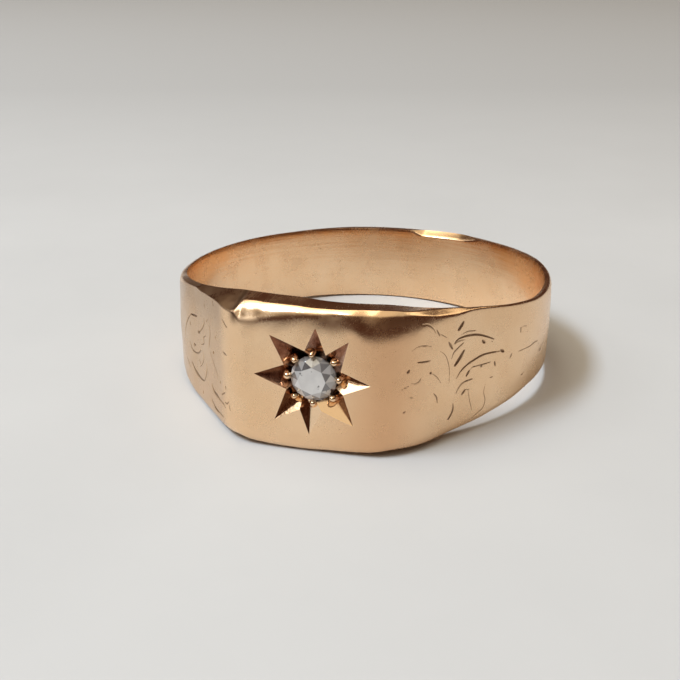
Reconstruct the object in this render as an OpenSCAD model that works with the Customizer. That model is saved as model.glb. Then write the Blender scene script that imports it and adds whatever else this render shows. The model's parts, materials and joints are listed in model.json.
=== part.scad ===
// Star-set signet ring: a tapering gold band with a flat head, a small faceted stone sunk in an
// eight-rayed star, and a plain section let into the back of the band.
// The finger's axis is Z, the origin is the middle of the bore, and the head faces -Y.
// All sizes are in millimetres and all angles in degrees.

/* [Finger bore] */
// Diameter of the finger bore
bore_d = 18.5; // [15:0.1:22]

/* [Signet head] */
// Width of the flat face, across the finger
head_w = 7.4; // [6:0.1:9]
// Height of the head along the finger, in its middle
head_h = 6.92; // [6.8:0.02:8]
// Height of the head at its sides and at the bore
head_side_h = 6.4; // [5.8:0.1:6.6]
// Rise of the head's bowed edges for each millimetre in from the shoulders
head_rise = 0.16; // [0.1:0.01:0.3]
// Least metal between the middle of the face and the bore
head_t = 1.4; // [1:0.05:2]
// Radius that softens the edges of the face and the shoulders
head_edge_r = 0.7; // [0.2:0.05:0.8]
// Distance behind the face at which the head's edges fall away to the bore
head_crest = 0.85; // [0.8:0.05:1]
// Radius that softens the bend between the face and each shoulder
head_bend_r = 0.8; // [0.4:0.1:2]

/* [Band] */
// Width of the band at the sides and the back
band_w = 4.3; // [3:0.1:5]
// Wall of the band at the sides
side_wall = 0.45; // [0.4:0.05:0.8]
// Wall of the band in the middle of the back
back_wall = 0.9; // [0.85:0.05:1.4]
// Distance from the bore's axis, towards the head, at which the taper ends
taper_end = 2.2; // [0.5:0.1:4]
// Radius that eases the taper into the parallel band
taper_ease_r = 15; // [5:1:25]
// Radius that softens the band's outer edges at the back
band_edge_r = 0.25; // [0.1:0.05:0.4]

/* [Solder seams] */
// Thickness of the solder in each seam
seam_t = 0.1; // [0.05:0.01:0.2]
// Angle from the middle of the back to each back seam
back_seam_angle = 40; // [25:1:60]

/* [Stone] */
// Diameter of the stone at its girdle
stone_d = 2.1; // [1.8:0.05:2.4]
// Diameter of the stone's table, across the corners
table_d = 1.25; // [0.9:0.05:1.4]
// Height of the crown above the girdle
crown_h = 0.36; // [0.2:0.02:0.5]
// Thickness of the girdle
girdle_h = 0.08; // [0.04:0.01:0.14]
// Depth of the pavilion below the girdle
pavilion_h = 0.92; // [0.7:0.02:1.1]
// Diameter of the flat that takes the point off the pavilion
culet_d = 0.3; // [0.2:0.02:0.5]
// Least room between the culet and the finger
culet_gap = 0.08; // [0.04:0.02:0.2]

/* [Star setting] */
// Number of rays, with one grain at the root of each
ray_count = 8; // [6:1:10]
// Distance from the stone's middle to the tip of a ray
ray_tip_r = 2.62; // [2.3:0.02:2.9]
// Distance from the stone's middle to where two rays meet on the face
ray_notch_r = 1.46; // [1.4:0.02:1.7]
// Fall of a ray's floor for each millimetre from its tip
ray_fall = 0.45; // [0.25:0.05:0.5]
// Depth of the stone's girdle below the face
girdle_depth = 0.34; // [0.3:0.02:0.4]
// Diameter of a grain
grain_d = 0.36; // [0.3:0.02:0.5]
// How far a grain reaches over the stone
grain_reach = 0.06; // [0.03:0.01:0.1]
// Depth of a grain's root below the floor of its ray
grain_root = 0.2; // [0.1:0.02:0.3]
// Clearance between the stone and its seat
seat_clear = 0.02; // [0.01:0.01:0.05]
// Diameter of the hole from the seat to the bore
pierce_d = 0.9; // [0.6:0.05:1.1]

/* [Hidden] */

$fn = 96;
GOLD = "#d9a878";
SOLDER = "#e2c08f";
STONE = "#dfe3e8";

// Cutters run past what they cut by this much
over = 1;
// Steps in a rounded corner
corner_steps = 8;
// Depth by which the shoulder's straight line dips into the round of the band
shoulder_bite = 0.03;

bore_r = bore_d / 2;
// The head is at least as deep as the sunk stone needs
head_depth = max(head_t, girdle_depth + girdle_h / 2 + pavilion_h + culet_gap);
face_y = bore_r + head_depth;
side_r = bore_r + side_wall;
back_y = bore_r + back_wall;
head_corner = [head_w / 2, -face_y];
// Distance from the bore's axis to a shoulder's straight side, and its angle from the face
shoulder_y = side_r - shoulder_bite;
shoulder_turn = atan(head_corner.x / face_y) + acos(shoulder_y / norm(head_corner));
// Reach of every cutter, clear of the whole ring
reach = max(face_y, back_y) + head_w;

stone_r = stone_d / 2;
seat_r = stone_r + seat_clear;
grain_r = grain_d / 2;
grain_ring_r = stone_r + grain_r - grain_reach;
ray_step = 360 / ray_count;
// Half width of a ray on the face for each millimetre from its tip
ray_spread = ray_notch_r * sin(ray_step / 2) / (ray_tip_r - ray_notch_r * cos(ray_step / 2));

// The points of an arc that rounds the corner b between the sides to a and to c
function rounded_corner(a, b, c, r) =
    let (
        to_a = (a - b) / norm(a - b),
        to_c = (c - b) / norm(c - b),
        half = acos(to_a * to_c) / 2,
        middle = (to_a + to_c) / norm(to_a + to_c),
        centre = b + middle * r / sin(half),
        start = b + to_a * r / tan(half) - centre,
        turn = (180 - 2 * half) * sign(cross(to_c, to_a))
    )
    [for (i = [0:corner_steps])
        let (t = turn * i / corner_steps)
        centre + [start.x * cos(t) - start.y * sin(t), start.x * sin(t) + start.y * cos(t)]];

// A closed outline with a radius at each of its corners, where 0 keeps a corner sharp
function rounded_outline(points, radii) =
    let (n = len(points))
    [for (i = [0:n - 1])
        each radii[i] == 0
            ? [points[i]]
            : rounded_corner(points[(i + n - 1) % n], points[i], points[(i + 1) % n], radii[i])];

// Outline of the head and the straight shoulders, seen along the finger
function head_outline() =
    let (foot = shoulder_y * [sin(shoulder_turn), -cos(shoulder_turn)])
    rounded_outline(
        [[0, 0], [-foot.x, foot.y], [-head_corner.x, head_corner.y], head_corner, foot],
        [0, 0, head_bend_r, head_bend_r, 0]
    );

// Outline of the ring seen from the side: the head's rounded edges, the taper and the parallel back
function side_outline() =
    let (
        half = [
            [-face_y, head_h / 2],
            [-face_y + head_crest, head_h / 2],
            [-bore_r, head_side_h / 2],
            [-taper_end, band_w / 2],
            [back_y, band_w / 2],
        ],
        radii = [head_edge_r, 0, 0, taper_ease_r, band_edge_r],
        n = len(half)
    )
    rounded_outline(
        concat(half, [for (i = [n - 1:-1:0]) [half[i].x, -half[i].y]]),
        concat(radii, [for (i = [n - 1:-1:0]) radii[i]])
    );

// Outline seen along a shoulder: its softened edge, then a rise over the head
function shoulder_outline() =
    let (
        edge = head_side_h / 2,
        top = edge + head_rise * (reach + side_r)
    )
    rounded_outline(
        [[-side_r, -edge], [reach, -top], [reach, top], [-side_r, edge]],
        [head_edge_r, 0, 0, head_edge_r]
    );

// The round that thickens the back: it meets the sides at the back seams
module back_round() {
    seam = side_r * [sin(back_seam_angle), cos(back_seam_angle)];
    rise = back_y - seam.y;
    radius = (seam.x * seam.x + rise * rise) / (2 * rise);
    translate([0, back_y - radius])
        circle(radius);
}

// Everything that one shoulder's softened edges leave, on the left (-1) or the right (1)
module along_shoulder(side)
    rotate([0, 0, side * shoulder_turn])
        rotate([90, 0, 90])
            linear_extrude(4 * reach, center = true)
                polygon(shoulder_outline());

// The whole metal of the ring before it is parted at its seams
module ring_metal() {
    difference() {
        intersection() {
            linear_extrude(head_h + 2 * over, center = true)
                union() {
                    circle(side_r);
                    back_round();
                    polygon(head_outline());
                }
            rotate([90, 0, 90])
                linear_extrude(2 * reach, center = true)
                    polygon(side_outline());
            along_shoulder(-1);
            along_shoulder(1);
        }
        cylinder(h = head_h + 2 * over, d = bore_d, center = true);
    }
}

// Everything to the right of a plane square to X
module right_of(x)
    translate([x, -reach, -reach])
        cube(2 * reach);

// Everything in front of the right back seam, set off from it by a distance
module ahead_of_back_seam(offset)
    rotate([0, 0, -back_seam_angle])
        translate([offset, -reach, -reach])
            cube(2 * reach);

// Places things on the face: the stone's middle is the origin and Z points out of the face
module on_face()
    translate([0, -face_y, 0])
        rotate([90, 0, 0])
            children();

// One V-shaped ray of the star along X, its floor falling from the tip towards the stone
module ray_cut() {
    lip = over * ray_fall;
    tip = ray_tip_r + over;
    width = ray_spread * tip;
    polyhedron(
        [[tip, 0, lip], [0, width, lip], [0, -width, lip], [0, 0, -ray_fall * ray_tip_r]],
        [[0, 2, 1], [0, 1, 3], [0, 3, 2], [1, 2, 3]]
    );
}

// The part of a ray that is cut into the head, from its tip to the edge of the seat
module ray()
    intersection() {
        ray_cut();
        translate([seat_r / 2, -ray_tip_r, -reach])
            cube([ray_tip_r + over, 2 * ray_tip_r, 2 * reach]);
    }

// The post of one grain, from its root in the head up to where its dome begins
module grain_post() {
    root = ray_fall * (ray_tip_r - grain_ring_r) + grain_root;
    translate([grain_ring_r, 0, -root])
        cylinder(h = root - grain_r, r = grain_r);
}

// A grain: the post under a dome that ends level with the face
module grain() {
    grain_post();
    translate([grain_ring_r, 0, -grain_r])
        sphere(grain_r);
}

module around_stone()
    for (i = [0:ray_count - 1])
        rotate([0, 0, i * ray_step])
            children();

// The room for the stone: a round shaft down to the girdle, a cone for the pavilion and the piercing
module seat() {
    shelf = girdle_depth + girdle_h / 2;
    cone_h = pavilion_h * (seat_r - pierce_d / 2) / stone_r;
    translate([0, 0, -shelf])
        cylinder(h = shelf + over, r = seat_r);
    translate([0, 0, -shelf - cone_h])
        cylinder(h = cone_h, r1 = pierce_d / 2, r2 = seat_r);
    translate([0, 0, -head_depth - over])
        cylinder(h = head_depth + over - shelf, d = pierce_d);
}

// The space that the stone fills above its seat, with the seat's clearance
module stone_room() {
    shoulder = girdle_h / 2 - girdle_depth;
    translate([0, 0, -head_depth])
        cylinder(h = head_depth + shoulder, r = seat_r);
    translate([0, 0, shoulder])
        cylinder(h = crown_h, r1 = seat_r, r2 = table_d / 2 + seat_clear);
}

module signet_head()
    color(GOLD)
        difference() {
            intersection() {
                ring_metal();
                translate([-head_w / 2, -reach, -reach])
                    cube([head_w, reach, 2 * reach]);
            }
            on_face() {
                seat();
                around_stone() {
                    ray();
                    grain_post();
                }
            }
        }

module right_shoulder()
    color(GOLD)
        intersection() {
            ring_metal();
            right_of(head_w / 2 + seam_t);
            ahead_of_back_seam(seam_t);
        }

module left_shoulder()
    mirror([1, 0, 0])
        right_shoulder();

module back_shank()
    color(GOLD)
        difference() {
            ring_metal();
            ahead_of_back_seam(0);
            mirror([1, 0, 0])
                ahead_of_back_seam(0);
            translate([-reach, -reach, -reach])
                cube([2 * reach, reach, 2 * reach]);
        }

module head_seam_right()
    color(SOLDER)
        intersection() {
            ring_metal();
            translate([head_w / 2, -reach, -reach])
                cube([seam_t, reach, 2 * reach]);
        }

module head_seam_left()
    mirror([1, 0, 0])
        head_seam_right();

module shank_seam_right()
    color(SOLDER)
        intersection() {
            ring_metal();
            rotate([0, 0, -back_seam_angle])
                translate([0, 0, -reach])
                    cube([seam_t, reach, 2 * reach]);
        }

module shank_seam_left()
    mirror([1, 0, 0])
        shank_seam_right();

// An old-cut brilliant: table, stars, kites, girdle, pavilion kites and a blunt culet
module diamond() {
    sides = 8;
    step = 360 / sides;
    top = girdle_h / 2 + crown_h;
    bottom = -girdle_h / 2 - pavilion_h;
    // Share of the way from table or culet to girdle at which the kites are widest
    crown_waist = 0.45;
    pavilion_waist = 0.3;
    // A ring of points whose radius is r, turned by some of a step
    function ring(count, r, z, turn) =
        [for (i = [0:count - 1]) [r * cos((i + turn) * 360 / count), r * sin((i + turn) * 360 / count), z]];
    // The widest points of the kites lie on the kites' own planes
    function waist(r_end, z_end, z_girdle, share) =
        let (x = r_end + (stone_r - r_end) * share)
        ring(sides, x / cos(step / 2), z_end + (z_girdle - z_end) * share, 0.5);
    points = concat(
        ring(sides, table_d / 2, top, 0),
        waist(table_d / 2, top, girdle_h / 2, crown_waist),
        ring(2 * sides, stone_r, girdle_h / 2, 0),
        ring(2 * sides, stone_r, -girdle_h / 2, 0),
        waist(culet_d / 2, bottom, -girdle_h / 2, 1 - pavilion_waist),
        ring(sides, culet_d / 2, bottom, 0)
    );
    kite_at = sides;
    upper_at = kite_at + sides;
    lower_at = upper_at + 2 * sides;
    pavilion_at = lower_at + 2 * sides;
    culet_at = pavilion_at + sides;
    faces = concat(
        [[for (i = [0:sides - 1]) sides - 1 - i]],
        [[for (i = [0:sides - 1]) culet_at + i]],
        [for (i = [0:sides - 1])
            let (
                next = (i + 1) % sides,
                before = (i + sides - 1) % sides,
                g = 2 * i,
                g_next = (2 * i + 1) % (2 * sides),
                g_after = (2 * i + 2) % (2 * sides)
            )
            each [
                [i, next, kite_at + i],
                [i, kite_at + i, upper_at + g],
                [i, upper_at + g, kite_at + before],
                [kite_at + i, upper_at + g_next, upper_at + g],
                [kite_at + i, upper_at + g_after, upper_at + g_next],
                [upper_at + g, upper_at + g_next, lower_at + g_next, lower_at + g],
                [upper_at + g_next, upper_at + g_after, lower_at + g_after, lower_at + g_next],
                [pavilion_at + i, lower_at + g, lower_at + g_next],
                [pavilion_at + i, lower_at + g_next, lower_at + g_after],
                [culet_at + i, lower_at + g, pavilion_at + i],
                [culet_at + i, pavilion_at + before, lower_at + g],
                [culet_at + i, pavilion_at + i, culet_at + next],
            ]]
    );
    color(STONE)
        on_face()
            translate([0, 0, -girdle_depth])
                polyhedron(points, faces);
}

module setting_grains()
    color(GOLD)
        on_face()
            difference() {
                around_stone()
                    grain();
                stone_room();
            }

signet_head();
left_shoulder();
right_shoulder();
back_shank();
head_seam_left();
head_seam_right();
shank_seam_left();
shank_seam_right();
diamond();
setting_grains();
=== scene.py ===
"""A star-set signet ring, dressed for its photograph: worn gold, scroll engraving and an old-cut stone.

The finger's axis is Z, the origin is the middle of the bore and the head faces -Y. Everything is in
metres.
"""

import json
import math

import bmesh
import bpy
import numpy as np
from bpy.props import FloatProperty, FloatVectorProperty, IntProperty, PointerProperty
from mathutils import Matrix, Vector


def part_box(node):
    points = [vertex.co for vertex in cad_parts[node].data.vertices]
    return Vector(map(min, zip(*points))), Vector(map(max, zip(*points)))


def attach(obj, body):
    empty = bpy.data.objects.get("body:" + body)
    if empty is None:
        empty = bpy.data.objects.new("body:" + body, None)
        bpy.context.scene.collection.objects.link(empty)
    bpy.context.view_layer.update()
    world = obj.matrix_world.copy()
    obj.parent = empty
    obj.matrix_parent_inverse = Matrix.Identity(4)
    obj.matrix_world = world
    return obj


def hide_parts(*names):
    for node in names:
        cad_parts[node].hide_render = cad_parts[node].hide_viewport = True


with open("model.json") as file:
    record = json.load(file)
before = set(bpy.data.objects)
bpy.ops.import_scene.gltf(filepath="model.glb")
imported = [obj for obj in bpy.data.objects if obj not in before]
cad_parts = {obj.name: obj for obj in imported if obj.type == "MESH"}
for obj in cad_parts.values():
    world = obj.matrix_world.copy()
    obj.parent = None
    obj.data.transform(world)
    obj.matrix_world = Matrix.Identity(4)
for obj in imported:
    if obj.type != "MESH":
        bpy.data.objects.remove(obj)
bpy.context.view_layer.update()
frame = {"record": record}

bl_info = {
    "name": "Star-set Signet Ring",
    "version": (1, 0, 0),
    "blender": (4, 5, 0),
    "location": "View3D > Sidebar > Signet Ring",
    "description": "Builds a worn gold signet ring with a star-set stone and engraved shoulders",
    "category": "Object",
}

MM = 0.001
DEG = math.pi / 180

HEAD_LOW, HEAD_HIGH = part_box("signet_head")
SEAM_LOW, SEAM_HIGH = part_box("head_seam_right")
BACK_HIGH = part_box("back_shank")[1]
SIDE_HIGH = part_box("right_shoulder")[1]
STONE_LOW, STONE_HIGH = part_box("diamond")
BORE = next(m for m in frame["record"]["mounts"] if m["name"] == "finger_bore")


def length(name, description, default):
    """A size of the ring that a user may change."""
    return FloatProperty(name=name, description=description, default=default, unit="LENGTH", precision=5)


def angle(name, description, degrees):
    """An angle that a user may change."""
    return FloatProperty(name=name, description=description, default=degrees * DEG, subtype="ANGLE")


def colour(name, description, default):
    """A colour that a user may change."""
    return FloatVectorProperty(
        name=name, description=description, default=default, subtype="COLOR", size=3, min=0, max=1
    )


class BandSizes(bpy.types.PropertyGroup):
    bore_radius: length("Bore radius", "Radius of the finger bore", BORE["dims"]["r_mm"] * MM)
    face_reach: length("Face", "Distance from the bore's axis to the flat face", -HEAD_LOW.y)
    head_half: length("Half head", "Half the width of the flat face", HEAD_HIGH.x)
    side_radius: length("Side radius", "Outer radius of the band at the sides", SIDE_HIGH.x)
    back_reach: length("Back", "Distance from the bore's axis to the outside of the back", BACK_HIGH.y)
    seam: length("Seam", "Thickness of the solder in each seam", SEAM_HIGH.x - SEAM_LOW.x)
    back_seam: angle("Back seam", "Angle from the middle of the back to each back seam", 40)
    left_bend: length("Left bend", "Softness of the bend from the face to the left shoulder", 0.9 * MM)
    right_bend: length("Right bend", "Softness of the bend from the face to the right shoulder", 1.5 * MM)
    face_bow: length("Face bow", "How far the face falls back towards its bends", 0.1 * MM)
    foot_round: length("Foot edge", "Radius of the head's lower edge", 0.3 * MM)
    rim_round: length("Rim edge", "Radius of the band's lower edges", 0.2 * MM)
    bore_round: length("Bore edge", "Width of the small flats at the edges of the bore", 0.02 * MM)
    crown: length("Crown", "How far the outside falls back towards its edges", 0.05 * MM)


class StarSizes(bpy.types.PropertyGroup):
    stone_radius: length("Stone radius", "Radius of the stone at its girdle", STONE_HIGH.x)
    stone_top: length("Stone top", "Distance from the bore's axis to the stone's table", -STONE_LOW.y)
    grains: IntProperty(name="Grains", description="Number of grains round the stone", default=8, min=4)
    grain_radius: length("Grain radius", "Radius of a grain", 0.19 * MM)
    grain_ring: length("Grain ring", "Distance from the stone's middle to a grain's middle", 1.24 * MM)
    grain_lean: FloatProperty(
        name="Grain lean", description="Lean of the grains for each unit of height", default=0.3
    )


class EngravingSizes(bpy.types.PropertyGroup):
    depth: length("Depth", "Depth of a bold cut", 0.05 * MM)
    fineness: length("Fineness", "Distance between the points of the engraved surface", 0.029 * MM)


class Finish(bpy.types.PropertyGroup):
    gold: colour("Gold", "Colour of the worn gold", (0.93, 0.66, 0.42))
    gold_deep: colour("Deep gold", "Colour of the gold where it is less worn", (0.89, 0.60, 0.36))
    # Grime in the engraved cuts; the same colour is painted as shade on the head's edges, its worn patch
    # and the left shoulder.
    grime_and_painted_shade: colour("Grime", "Colour of what has settled in the cuts", (0.15, 0.08, 0.043))
    # The star's cut golds: grime and painted shade in the cuts. The lit sides use solder and gold instead,
    # a painted highlight.
    shaded_cut_gold: colour("Cut gold", "Colour of the star's cuts", (0.64, 0.43, 0.32))
    darkest_shaded_cut: colour("Dull cut", "Colour of the star's cuts where they are dullest", (0.36, 0.2, 0.14))
    # Darker, redder gold mixed in round the right bend.
    red_gold: colour("Red gold", "Colour of the gold where it is rubbed least", (0.73, 0.43, 0.235))
    solder: colour("Solder", "Colour of the solder in the seams", (0.93, 0.665, 0.43))
    stone: colour("Stone", "Colour of the stone", (1, 0.97, 0.94))


class StageSettings(bpy.types.PropertyGroup):
    floor: colour("Floor", "Colour of the pale floor", (0.6, 0.6, 0.61))
    tilt: angle("Tilt", "Lean of the ring on its taper", 3.95)
    lens: FloatProperty(name="Lens", description="Focal length on a 36 mm sensor", default=51.13)


def settings(name):
    """The values of one of the panel's groups."""
    return getattr(bpy.context.scene, "signet_" + name)


# Curves


def eased(x, start, end):
    """0 before start, 1 after end and a smooth step between them."""
    t = np.clip((np.asarray(x, float) - start) / (end - start), 0, 1)
    return t * t * (3 - 2 * t)


def stretch(x, start, full, wane, end):
    """1 from full to wane, 0 before start and after end, with smooth steps between them."""
    return eased(x, start, full) * (1 - eased(x, wane, end))


def bell(x, middle, width, most=1):
    """The most at the middle of a spot, falling smoothly to 0 on both sides."""
    return most * np.exp(-(((x - middle) / width) ** 2))


def soft_min(a, b, width):
    """The smaller of two distances, with a rounded change from one to the other."""
    blend = np.clip(width - np.abs(a - b), 0, None) / width
    return np.minimum(a, b) - blend * blend * width / 4


def through(x, px, py, slope):
    """A cubic curve through points with known slopes."""
    x = np.clip(x, px[0], px[-1])
    i = np.clip(np.searchsorted(px, x) - 1, 0, len(px) - 2)
    step = px[i + 1] - px[i]
    t = (x - px[i]) / step
    return (
        py[i] * (1 + 2 * t) * (1 - t) ** 2
        + slope[i] * step * t * (1 - t) ** 2
        + py[i + 1] * t * t * (3 - 2 * t)
        + slope[i + 1] * step * t * t * (t - 1)
    )


def smooth_line(x, points):
    """A rounded curve through a few (x, y) points."""
    px, py = np.array(points, float).T
    return through(x, px, py, np.gradient(py, px))


def steady_line(x, points):
    """A curve through a few (x, y) points that doesn't swing past them."""
    px, py = np.array(points, float).T
    rise = np.diff(py) / np.diff(px)
    before, after = rise[:-1], rise[1:]
    slope = np.zeros(len(px))
    climbing = before * after > 0
    slope[1:-1][climbing] = 2 * before[climbing] * after[climbing] / (before + after)[climbing]
    return through(x, px, py, slope)


def run_along(points):
    """Distance along a line of points, from its first to each of them."""
    return np.concatenate([[0], np.cumsum(np.linalg.norm(np.diff(points, axis=0), axis=1))])


# Outline of the ring, seen along the finger


def shoulder_turn(band):
    """Distance from the axis to a shoulder's straight side, and its angle from the face."""
    bite = 0.03 * MM
    near = band.side_radius - bite
    corner = math.hypot(band.head_half, band.face_reach)
    return near, math.atan2(band.head_half, band.face_reach) + math.acos(near / corner)


def shoulder_ends(band):
    """Angles round the bore of a shoulder's first and last rib, on the right."""
    front = math.asin((band.head_half + band.seam) / band.bore_radius)
    return front, math.pi - band.back_seam - math.asin(band.seam / band.bore_radius)


def rib_lean(angles, band):
    """Direction of the ribs that cross the metal: square to the face on the head, radial on the band."""
    front, back = shoulder_ends(band)
    radial = 60 * DEG
    seam_back = math.pi - band.back_seam
    marks = [0, front, radial, back, seam_back, 2 * math.pi]
    leans = [0, 0, radial, seam_back, seam_back, 2 * math.pi]
    return np.interp(np.abs(angles), marks, leans) * np.sign(angles)


def round_reach(base, way, centre_y, radius):
    """Distance from points inside a circle to the circle."""
    off = base - np.array([0, centre_y])
    along = np.sum(off * way, axis=1)
    return -along + np.sqrt(along**2 + radius**2 - np.sum(off * off, axis=1))


def on_right(pairs):
    """Places or directions in plan, mirrored to the right side of the ring."""
    return np.stack([np.abs(pairs[:, 0]), pairs[:, 1]], axis=1)


def plan_reach(base, way, band):
    """Thickness of the metal along each rib, from the bore to the outline seen along the finger."""
    least_facing = 0.2
    bow_ends = 2
    ease = 0.03 * MM
    near, turn = shoulder_turn(band)
    side = round_reach(base, way, 0, band.side_radius)
    seam = band.side_radius * np.array([math.sin(band.back_seam), math.cos(band.back_seam)])
    rise = band.back_reach - seam[1]
    back_radius = (seam[0] ** 2 + rise**2) / (2 * rise)
    back = round_reach(base, way, band.back_reach - back_radius, back_radius)
    side = np.where(base[:, 1] > 0, np.maximum(side, back), side)
    facing = np.clip(-way[:, 1], least_facing, 1)
    bow = band.face_bow * np.clip(base[:, 0] / band.head_half, -bow_ends, bow_ends) ** 2
    face = (band.face_reach - bow + base[:, 1]) / facing
    square = np.array([math.sin(turn), -math.cos(turn)])
    leaning = np.clip(on_right(way) @ square, least_facing, 1)
    shoulder = (near - on_right(base) @ square) / leaning
    flat = soft_min(face, shoulder, np.where(base[:, 0] < 0, band.left_bend, band.right_bend))
    foot = np.abs(np.arctan2(way[:, 0], -way[:, 1])) < turn
    return np.where(foot, -soft_min(-flat, -side, ease), side)


# Outline of the metal across each rib

# Height of the ring's upper and lower edges: (degrees from the middle of the head, right positive;
# millimetres from the middle of the band)
TOP_HEIGHT = [
    (-180, 2.19), (-165, 2.19), (-140, 2.13), (-92, 2.05), (-70, 2.22), (-60, 2.43), (-45, 2.71),
    (-30, 3.02), (-19, 3.23), (-12, 3.3), (-5, 3.33), (1, 3.26), (8, 3.21), (15, 3.17), (22, 3.02),
    (35, 2.83), (45, 2.68), (60, 2.38), (75, 2.18), (92, 2.24), (115, 2.37), (150, 2.28), (180, 2.19),
]
FOOT_HEIGHT = [
    (-180, 2.05), (-92, 2.05), (-80, 2.15), (-70, 2.42), (-60, 2.8), (-52, 3.03), (-45, 3.16),
    (-35, 3.23), (-26, 3.22), (-19, 3.2), (-15, 3.34), (-10, 3.42), (-3, 3.46), (5, 3.41), (10, 3.38),
    (15, 3.3), (19, 3.2), (26, 3.18), (35, 3.01), (45, 2.82), (52, 2.58), (60, 2.36), (70, 2.12),
    (92, 2.05), (180, 2.05),
]

# The worn upper edge: degrees; where the flat top ends, as a share of the thickness, and how far below
# the top; the same for the place where the edge turns; how far below the top the face starts; how far the
# face is worn back, and over what height; how soft the turns are. The lengths are in millimetres.
UPPER_EDGE = [
    (-180, 0.6, 0.02, 0.85, 0.05, 0.15, 0, 0.6, 0.05),
    (-140, 0.5, 0.02, 0.8, 0.06, 0.2, 0, 0.6, 0.05),
    (-92, 0.38, 0.02, 0.72, 0.1, 0.4, 0, 0.6, 0.05),
    (-75, 0.4, 0.02, 0.74, 0.1, 0.38, 0, 0.6, 0.05),
    (-60, 0.6, 0.03, 0.82, 0.08, 0.24, 0, 0.6, 0.05),
    (-43.6, 0.85, 0.05, 0.94, 0.08, 0.14, 0, 0.6, 0.03),
    (-39.4, 0.9, 0.16, 0.95, 0.18, 0.23, 0, 0.6, 0.03),
    (-33.7, 0.92, 0.2, 0.96, 0.22, 0.27, 0, 0.6, 0.03),
    (-27.8, 0.92, 0.26, 0.96, 0.28, 0.33, 0, 0.6, 0.03),
    (-20.6, 0.92, 0.45, 0.96, 0.48, 0.54, 0, 0.6, 0.03),
    (-19.5, 0.9, 0.42, 0.95, 0.5, 0.58, 0.01, 0.8, 0.05),
    (-17.4, 0.62, 0.06, 0.78, 0.28, 0.84, 0.02, 0.8, 0.07),
    (-14.6, 0.616, 0.06, 0.786, 0.29, 0.82, 0.03, 0.9, 0.08),
    (-12.3, 0.65, 0.09, 0.843, 0.34, 0.72, 0.04, 0.9, 0.08),
    (-6.4, 0.7, 0.1, 0.883, 0.3, 0.56, 0.05, 0.9, 0.08),
    (-2.1, 0.735, 0.09, 0.906, 0.26, 0.45, 0.06, 0.9, 0.07),
    (1.9, 0.727, 0.05, 0.917, 0.22, 0.38, 0.09, 0.9, 0.06),
    (5.4, 0.722, 0.02, 0.946, 0.16, 0.25, 0.16, 1, 0.05),
    (8.8, 0.71, -0.04, 0.95, 0.11, 0.15, 0.14, 0.9, 0.045),
    (12.2, 0.68, -0.06, 0.95, 0.11, 0.16, 0.24, 1.2, 0.04),
    (15.5, 0.71, -0.1, 0.95, 0.08, 0.13, 0.26, 1.3, 0.04),
    (18.8, 0.71, -0.13, 0.95, 0.04, 0.09, 0.26, 1.35, 0.04),
    (22.3, 0.69, -0.14, 0.945, 0, 0.05, 0.22, 1.3, 0.04),
    (26.2, 0.6, -0.14, 0.94, 0.03, 0.1, 0.14, 0.85, 0.04),
    (30.5, 0.47, -0.13, 0.92, 0.1, 0.17, 0.07, 0.55, 0.04),
    (35.2, 0.45, -0.12, 0.89, 0.1, 0.18, 0.02, 0.4, 0.04),
    (42, 0.62, -0.09, 0.86, -0.03, 0.06, 0, 0.5, 0.03),
    (51, 0.7, -0.09, 0.85, -0.06, 0.04, 0, 0.5, 0.03),
    (60, 0.66, -0.1, 0.83, -0.07, 0.03, 0, 0.5, 0.03),
    (75, 0.58, -0.1, 0.8, -0.06, 0.05, 0, 0.5, 0.035),
    (92, 0.42, -0.04, 0.72, 0.02, 0.2, 0, 0.6, 0.05),
    (120, 0.5, 0.02, 0.8, 0.06, 0.2, 0, 0.6, 0.05),
    (180, 0.6, 0.02, 0.85, 0.05, 0.15, 0, 0.6, 0.05),
]

# Places round the ring, in degrees from the middle of the head. Those on both sides or on the left have
# no sign. A stretch comes in between its first two values and goes out between its last two; a spot has
# a middle, a width and its most.
BOTH_DROP_FADE = 12, 27
BOTH_ROUND_CHANGE = 17, 58
GROUND_FLAT = 144, 156, 169, 175
LEFT_BEVEL = 15, 22, 52, 64
# Grime over the left shoulder's engraving, with painted shade, more towards its top.
LEFT_GRIME_AND_SHADE = 22, 27, 66, 82
# Darker, redder gold round the right bend.
RED_BEND = 17, 9, 0.9
ROUGH_BROW = -16, 4, 1
# Painted shade over the glint at the left end of the head's strip, which is also rougher there.
ROUGH_SHADED_CORNER = -19.3, 1.3, 0.9
# Painted shade over the left end of the head's highlight, just above the brow.
PAINTED_BROW_SHADE = -16.5, 4, 0.6

# How far the bore's lower edge lies above the head's foot, and the width of the flat on the back rim
FOOT_DROP = 0.25 * MM
GROUND_WIDTH = 0.42 * MM

# How many points the worn part of the face has from top to bottom, and how its wear fades down it
FACE_POINTS = 9
WEAR_CURVE = 2.2

# Fall of the small flats at the edges of the bore for each unit of their width
BORE_EDGE_FALL = 0.55

# How far the bore opens at its upper edge, and over what height
BORE_FLARE = 0.035 * MM
BORE_FLARE_HEIGHT = 0.35 * MM


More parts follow.
